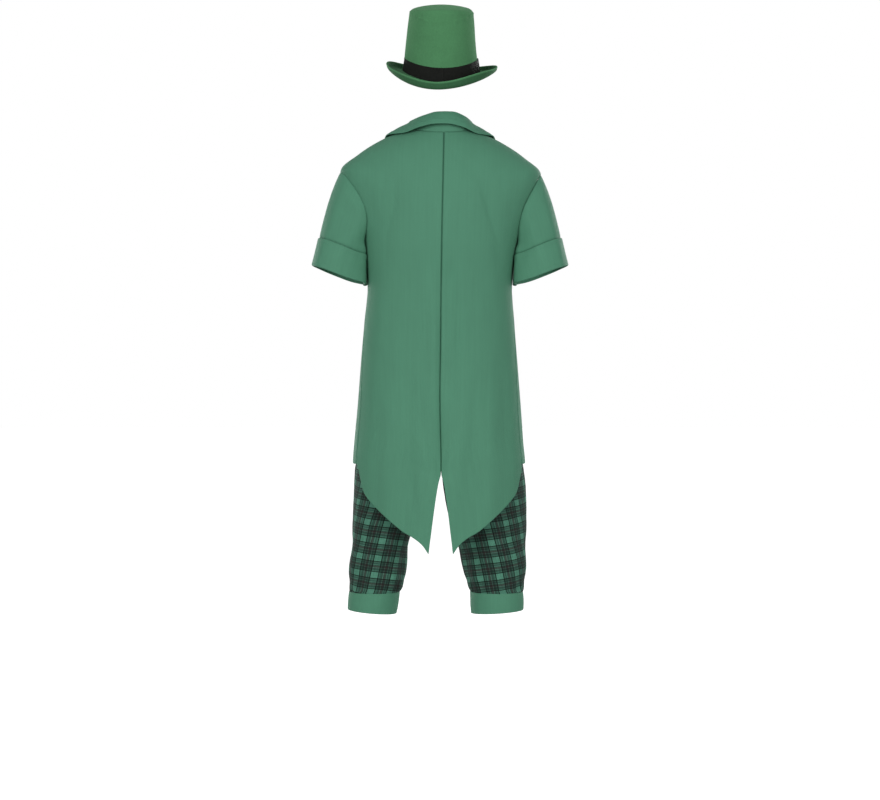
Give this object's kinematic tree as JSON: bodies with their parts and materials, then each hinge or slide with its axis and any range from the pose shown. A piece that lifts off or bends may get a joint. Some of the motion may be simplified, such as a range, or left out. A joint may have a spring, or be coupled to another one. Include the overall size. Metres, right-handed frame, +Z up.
{
  "type": "leprechaun costume",
  "caption": "Green tail coat with short cuffed sleeves, check knee breeches with plain knee bands and a felt top hat, each hollow and in the place it has when worn.",
  "frame": {"origin": "in the middle of the coat's neck opening, level with the tops of the shoulder seams, 1.6 m over the floor of a standing wearer", "axes": "+Z up, +X to the wearer's right, +Y the way the wearer faces"},
  "size_m": [0.6276, 0.2954, 1.485],
  "materials": {
    "coat_cloth": "plain-woven green polyester with a soft sheen",
    "check_cloth": "woven polyester printed with a green and black tartan check",
    "hat_felt": "matt green felt",
    "hat_ribbon": "black ribbon with a low sheen",
    "button": "moulded black plastic"
  },
  "bodies": {
    "root": {"breeches_back_left": "check_cloth", "breeches_back_right": "check_cloth", "breeches_front_left": "check_cloth", "breeches_front_right": "check_cloth", "breeches_knee_band_left": "coat_cloth", "breeches_knee_band_right": "coat_cloth", "breeches_waistband": "check_cloth", "coat_back_left": "coat_cloth", "coat_back_right": "coat_cloth", "coat_button_1": "button", "coat_button_2": "button", "coat_button_3": "button", "coat_collar": "coat_cloth", "coat_cuff_left": "coat_cloth", "coat_cuff_right": "coat_cloth", "coat_front_left": "coat_cloth", "coat_front_right": "coat_cloth", "coat_lapel_left": "coat_cloth", "coat_lapel_right": "coat_cloth", "coat_sleeve_left": "coat_cloth", "coat_sleeve_right": "coat_cloth", "hat_band": "hat_ribbon", "hat_brim": "hat_felt", "hat_crown": "hat_felt"}
  },
  "joints": []
}
